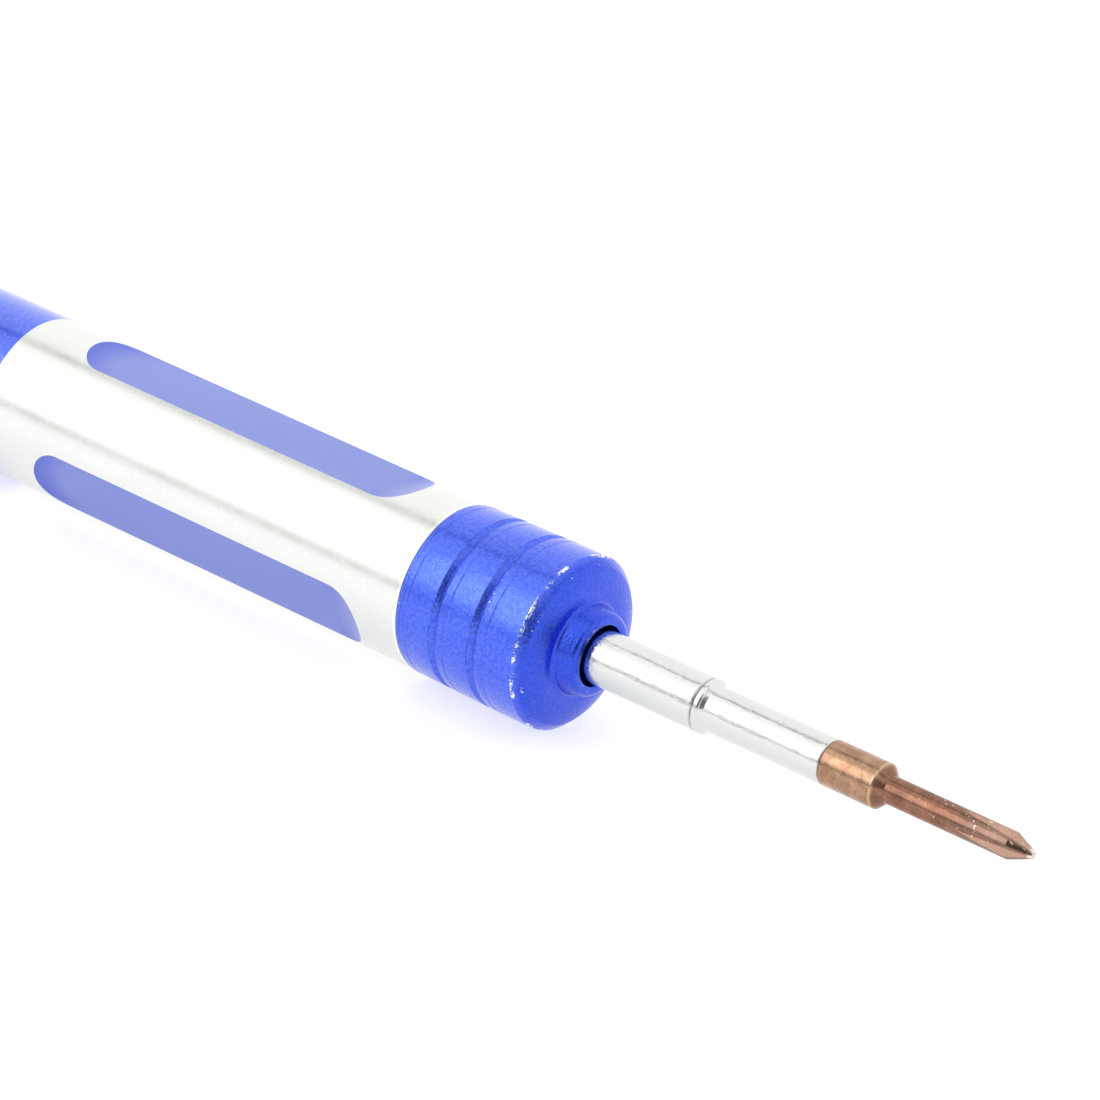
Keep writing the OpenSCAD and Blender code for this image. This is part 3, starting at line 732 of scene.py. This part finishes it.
# %% Turning the shaft, and its hexagonal tang
TANG_START, GUIDE = 70.02, 88.3         # where the tang and the round guide begin
SHAFT_END, BIT_SEAT = 107.4, 104.4      # the shaft's front, and the bottom of the bit's hole
TANG_R = 1.25 / math.cos(math.radians(30))    # corner radius of a hexagon 2.5 mm across flats
shaft = [(GUIDE, 0.0), (GUIDE, 1.35), (GUIDE + 0.15, SHAFT_R)]
shaft += groove(SHAFT_LINE, SHAFT_R, 0.12, 0.1) + arc(99.6, 1.25, 0.25, 0, 55, 6)
shaft += [(100.0, NECK_R), (SHAFT_END - 0.06, NECK_R), (SHAFT_END, 1.19), (SHAFT_END, 0.77),
          (BIT_SEAT, 0.77), (BIT_SEAT, 0.0)]
shaft_mesh = turned("blade_shaft_turned", shaft, PLATE, corner=0.03)
tang = [(TANG_START, 0.0), (TANG_START, 1.12), (TANG_START + 0.18, TANG_R), (GUIDE, TANG_R), (GUIDE, 0.0)]
tang_mesh = turned("blade_tang", tang, PLATE, segments=6, corner=0.0)
both = bmesh.new()
both.from_mesh(shaft_mesh)
both.from_mesh(tang_mesh)
both.to_mesh(shaft_mesh)
both.free()
bpy.data.meshes.remove(tang_mesh)
hand_over("blade_shaft_turned", shaft_mesh, "blade", "chrome_plate", "blade_shaft")

# %% [markdown]
# ## The bit
# Collar, cone and slim shank are turned, and a grinding wheel leaves four flutes with square-cornered
# roots that run out behind the point. The flutes could be drawn face by face, but a square bar set
# corner first and slightly tilted cuts a whole flute in one pass, and the dividing head repeats it.

# %% Turning the bit and grinding its flutes
FLUTE, ROOT, WHEEL = 4.4, 0.16, 1.5    # a flute's length, its root's radius at the point, the bar's side


def flute_wheel(name, finish):
    """A square bar, corner first, whose root rises from the point to the shank's surface."""
    rise = (BIT_R - ROOT) / FLUTE
    reach = WHEEL / math.sqrt(2)
    corners = ((0, 0), (reach, reach), (0, 2 * reach), (-reach, reach))

    def square(station):
        root = ROOT + rise * (TIP - station)
        return [(station - MID, y, root + up) for y, up in corners]

    return bridged(name, square(TIP - FLUTE - 1.0), square(TIP + 1.0), finish)


bit = [(104.5, 0.0), (104.5, 0.65), (104.6, BIT_R), (107.42, BIT_R), (107.42, 1.2), (107.47, NECK_R),
       (COLLAR_END, NECK_R), (111.2, BIT_R), (118.7, BIT_R), (TIP, 0.2), (TIP, 0.0)]
bit_mesh = turned("cross_bit_turned", bit, COPPER, segments=128, corner=0.03,
                  cutter=flute_wheel("flute_wheel", COPPER), cuts=4, first=81.0)
hand_over("cross_bit_turned", bit_mesh, "blade", "copper_coat", "phillips_bit")

# %% [markdown]
# ## The inner pieces
# The bearing, its screw and the blade's socket stay as the frame has them. They show only when the
# blade is pulled out or the tool is taken apart, but each still gets its own metal: turned, ground,
# pressed, blackened or plated. Their shapes are right already, so one function makes the metals and
# a table says which piece takes which.

# %% Finishes for the inner pieces
def inner_metal(name, colour, roughness, grain, mark):
    """Metal whose shade and gloss vary with a grain of that size, and with turning marks."""
    f = Finish(name)
    lumps = f.noise(grain, 3.0, 0.6)
    rings = f.rings(grain, 3.0)
    darker = tuple(c * 0.78 for c in colour) + (1,)
    shade = f.mix((lumps * 0.7 + rings * 0.3).clamp(), darker, colour + (1,))
    return f.done(shade, roughness - 0.05 + lumps * 0.12, 1.0, rings * mark + lumps * (1 - mark), 0.003)


def rubber(name):
    """Matt black rubber with a soft, even grain."""
    f = Finish(name)
    lumps = f.noise(0.12, 3.0, 0.6)
    shade = f.mix(lumps, (0.012, 0.012, 0.013, 1), (0.035, 0.034, 0.033, 1))
    return f.done(shade, 0.5 + lumps * 0.2, 0.0, lumps, 0.01)


INNER = {
    "nose_o_ring": rubber("o_ring_rubber"),
    "hex_socket": inner_metal("socket_steel", (0.50, 0.51, 0.53), 0.32, 0.10, 0.8),
    "socket_grub_screws": inner_metal("blackened_steel", (0.07, 0.07, 0.08), 0.42, 0.06, 0.4),
    "socket_magnet": inner_metal("magnet_nickel", (0.74, 0.73, 0.70), 0.20, 0.25, 0.1),
    "pivot_plug": inner_metal("plug_steel", (0.50, 0.51, 0.53), 0.34, 0.12, 0.8),
    "bearing_inner_ring": inner_metal("ground_ring_steel", (0.78, 0.79, 0.81), 0.16, 0.05, 0.7),
    "bearing_outer_ring": inner_metal("ground_ring_steel_outer", (0.78, 0.79, 0.81), 0.16, 0.05, 0.7),
    "ball_cage": inner_metal("cage_brass", (0.78, 0.58, 0.26), 0.30, 0.15, 0.2),
    "bearing_balls": inner_metal("lapped_ball_steel", (0.85, 0.86, 0.88), 0.08, 0.04, 0.0),
    "bearing_shield_front": inner_metal("pressed_shield_front", (0.66, 0.67, 0.69), 0.26, 0.2, 0.1),
    "bearing_shield_rear": inner_metal("pressed_shield_rear", (0.66, 0.67, 0.69), 0.26, 0.2, 0.1),
    "bearing_circlip": inner_metal("spring_steel", (0.09, 0.09, 0.10), 0.38, 0.08, 0.3),
    "screw_washer": inner_metal("zinc_washer", (0.62, 0.63, 0.65), 0.30, 0.1, 0.4),
    "pivot_screw": inner_metal("zinc_screw", (0.62, 0.63, 0.65), 0.28, 0.08, 0.6),
}
for node, finish in INNER.items():
    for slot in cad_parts[node].material_slots:
        slot.material = finish
print("inner pieces finished:", len(INNER))

# %% [markdown]
# ## Floor and light
# Polished metal shows its surroundings, so the surroundings are drawn first and lamps come second.
# The tool stands in a white tent: its near side is brighter than its far side, a dark seam runs
# overhead, and its lower hem is dark. Seam and hem are the thin grey lines along the bright grip
# and the blade. The camera looks in through a darker opening, which gives the metal its contrast.
# The floor is white acrylic lit from below, so that shadows stay faint, and one soft box on the
# near side adds a little shape.

# %% A pale floor
FLOOR_HALF = 3.0     # half its side, in metres


def pale_floor():
    """White acrylic that lets some of the table's own light through, so shadows stay faint."""
    f = Finish("pale_floor")
    tone = f.noise(60.0, 2.0)
    colour = f.mix(tone, (0.37, 0.37, 0.37, 1), (0.40, 0.40, 0.40, 1))
    return f.done(colour, 0.6 + tone * 0.1, 0.0, Emission_Color=(1, 1, 1, 1), Emission_Strength=0.71)


floor_mesh = bpy.data.meshes.new("floor")
corners = [(x * FLOOR_HALF, y * FLOOR_HALF, 0) for x, y in ((-1, -1), (1, -1), (1, 1), (-1, 1))]
floor_mesh.from_pydata(corners, [], [(0, 1, 2, 3)])
floor_mesh.materials.append(pale_floor())
floor = in_scene("floor", floor_mesh)

# %% A light tent, seen by its direction
# A place on the tent is given by its lean: degrees from overhead towards the near side.
SEAM, SEAM_HALF, SEAM_DARK = -4.0, 5.0, 0.85    # the gap overhead: lean, half width, how dark
HEM, HEM_HALF, HEM_DARK = 86.0, 5.0, 0.75       # the lower hem on the near side
FAR_SIDE, NEAR_SIDE = 1.18, 1.32                # how bright the two sides are
TURN_START, TURN_END = -8.0, 12.0               # where one turns into the other, from the seam
OPENING = (0.547, -0.737, 0.395)                # the way to the opening that the camera looks through
OPENING_HALF, OPENING_DARK = 40.0, 0.85
TENT_WHITE = (0.99, 1.0, 0.985, 1)


def light_tent():
    """A white tent round the tool: brighter on the near side, with a seam, a hem and an opening."""
    world = bpy.data.worlds.new("light_tent")
    world.use_nodes = True
    bpy.context.scene.world = world
    sheet = Sheet(world.node_tree)
    sheet.tree.nodes.clear()
    direction = sheet.node("ShaderNodeTexCoord", None, None, "Generated")
    _, y, z = sheet.split(direction)
    lean = sheet.math("ARCTAN2", -y, z) * math.degrees(1.0)

    def blend(value, low, high, first, last):
        return sheet.node("ShaderNodeMapRange", {"interpolation_type": "SMOOTHSTEP"}, {
            "Value": value, "From Min": low, "From Max": high, "To Min": first, "To Max": last})

    def dip(middle, half):
        return blend(abs(lean - middle), 0.35 * half, half, 1.0, 0.0)

    sides = blend(lean, SEAM + TURN_START, SEAM + TURN_END, FAR_SIDE, NEAR_SIDE)
    off = sheet.vector("DOT_PRODUCT", direction, OPENING, out=1).math("ARCCOSINE") * math.degrees(1.0)
    opening = blend(off, 0.5 * OPENING_HALF, OPENING_HALF, 1.0, 0.0)
    level = sides * (1.0 - dip(SEAM, SEAM_HALF) * SEAM_DARK) * (1.0 - dip(HEM, HEM_HALF) * HEM_DARK)
    level = level * (1.0 - opening * OPENING_DARK)
    light = sheet.node("ShaderNodeBackground", None, {"Color": TENT_WHITE, "Strength": level})
    sheet.node("ShaderNodeOutputWorld", None, {"Surface": light})
    print("light tent:", len(sheet.tree.nodes), "nodes")


def soft_box(name, place, aim, width, height, watts):
    """A rectangular lamp at a place, turned to its aim; metres and watts."""
    lamp = bpy.data.lights.new(name, "AREA")
    lamp.shape, lamp.size, lamp.size_y, lamp.energy = "RECTANGLE", width, height, watts
    obj = in_scene(name, lamp)
    obj.location = place
    obj.rotation_mode = "QUATERNION"
    obj.rotation_quaternion = (Vector(aim) - Vector(place)).to_track_quat("-Z", "Y")


light_tent()
soft_box("near_side", (-0.35, -0.75, 0.55), (0, 0, 0), 0.7, 0.6, 1.5)

# %% [markdown]
# ## The camera
# A long lens from the front right, a little above the tool and slightly rolled, so that the tool
# runs from the left edge down to the lower right with its tip towards the viewer. An aim and a
# distance are easier to adjust than a place and three angles, so the place is worked out from them.

# %% Placing the camera
AZIMUTH, ELEVATION, ROLL = 36.56, 23.31, 7.84    # degrees: round from the front, up, and rolled
DISTANCE, LENS, SENSOR = 286.96, 180.0, 36.0     # mm
LOOK_AT = Vector((27.77, 0.415, 9.171)) * MM     # a point near the top of the nose


def place_camera():
    """A camera at that distance from the point it looks at, rolled about its own line of sight."""
    a, e, roll = (math.radians(v) for v in (AZIMUTH, ELEVATION, ROLL))
    back = Vector((math.sin(a) * math.cos(e), -math.cos(a) * math.cos(e), math.sin(e)))
    level = Vector((math.cos(a), math.sin(a), 0.0))
    right = level * math.cos(roll) + back.cross(level) * math.sin(roll)
    data = bpy.data.cameras.new("camera")
    data.lens, data.sensor_width = LENS, SENSOR
    data.clip_start, data.clip_end = 0.01, 20.0
    camera = in_scene("camera", data)
    turn = Matrix((right, back.cross(right), back)).transposed().to_4x4()
    camera.matrix_world = Matrix.Translation(LOOK_AT + back * DISTANCE * MM) @ turn
    bpy.context.scene.camera = camera
    return camera


camera = place_camera()
bpy.context.scene.view_settings.view_transform = "Standard"
print("camera at, mm:", [round(v / MM, 1) for v in camera.matrix_world.translation])
